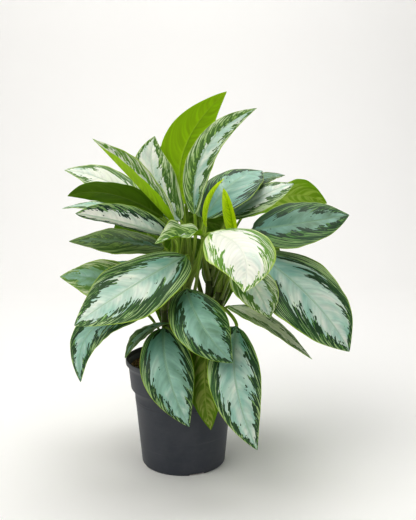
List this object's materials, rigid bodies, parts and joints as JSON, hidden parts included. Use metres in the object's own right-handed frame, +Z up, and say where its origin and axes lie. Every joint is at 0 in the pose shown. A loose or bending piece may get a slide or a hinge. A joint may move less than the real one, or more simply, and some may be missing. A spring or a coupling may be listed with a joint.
{
  "type": "potted chinese evergreen",
  "caption": "Bushy potted houseplant with arching, pointed, silver-variegated leaves on slender stalks, rising from short canes in soil in a round tapered black nursery pot.",
  "frame": {"origin": "middle of the pot's flat underside, on the surface that it stands on", "axes": "+Z up; the side of the plant with the large heart-shaped leaf faces -Y; +X to the right seen from that side"},
  "size_m": [0.4272, 0.3778, 0.5506],
  "materials": {
    "pot_plastic": "charcoal black injection-moulded polypropylene, fine matte grain",
    "soil": "moist brown peat mix, crumbly and matte",
    "cane_skin": "green cane skin with pale ring scars, satin",
    "leaf_blade": "silver-green leaf with feathered dark green margins, waxy satin cuticle",
    "young_leaf": "young lime-green rolled leaf, waxy satin cuticle"
  },
  "bodies": {
    "root": {"pot": "pot_plastic", "soil": "soil", "cane_front": "cane_skin", "cane_left": "cane_skin", "cane_right": "cane_skin", "cane_middle": "cane_skin", "cane_back_left": "cane_skin", "cane_back_right": "cane_skin", "leaf_front_heart": "leaf_blade", "leaf_front_curled": "leaf_blade", "leaf_right_tucked": "leaf_blade", "leaf_right_slim": "leaf_blade", "leaf_right_big": "leaf_blade", "leaf_right_upper": "leaf_blade", "leaf_right_turned": "leaf_blade", "leaf_back_small": "leaf_blade", "leaf_crown_silver": "leaf_blade", "leaf_right_edge": "leaf_blade", "leaf_young_spear": "young_leaf", "leaf_young_rolled": "young_leaf", "leaf_white_arching": "leaf_blade", "leaf_tall": "leaf_blade", "leaf_crown_left": "leaf_blade", "leaf_left_folded": "leaf_blade", "leaf_left_high": "leaf_blade", "leaf_left_turned": "leaf_blade", "leaf_left_behind": "leaf_blade", "leaf_left_ridged": "leaf_blade", "leaf_left_dark": "leaf_blade", "leaf_left_blunt": "leaf_blade", "leaf_left_big": "leaf_blade", "leaf_left_drooping": "leaf_blade", "leaf_over_rim": "leaf_blade", "leaf_front_hanging": "leaf_blade", "leaf_front_middle": "leaf_blade", "leaf_front_shaded": "leaf_blade", "leaf_right_hanging": "leaf_blade", "leaf_back_tall": "leaf_blade", "leaf_back_left_high": "leaf_blade", "leaf_back_high": "leaf_blade", "leaf_back_left_spread": "leaf_blade", "leaf_back_middle": "leaf_blade", "leaf_back_right_spread": "leaf_blade", "leaf_back_left_drooping": "leaf_blade", "leaf_back_hanging": "leaf_blade", "leaf_back_right_hanging": "leaf_blade", "leaf_side_right": "leaf_blade", "leaf_side_left": "leaf_blade", "leaf_back_crossing": "leaf_blade", "leaf_back_upright": "leaf_blade"}
  },
  "joints": []
}
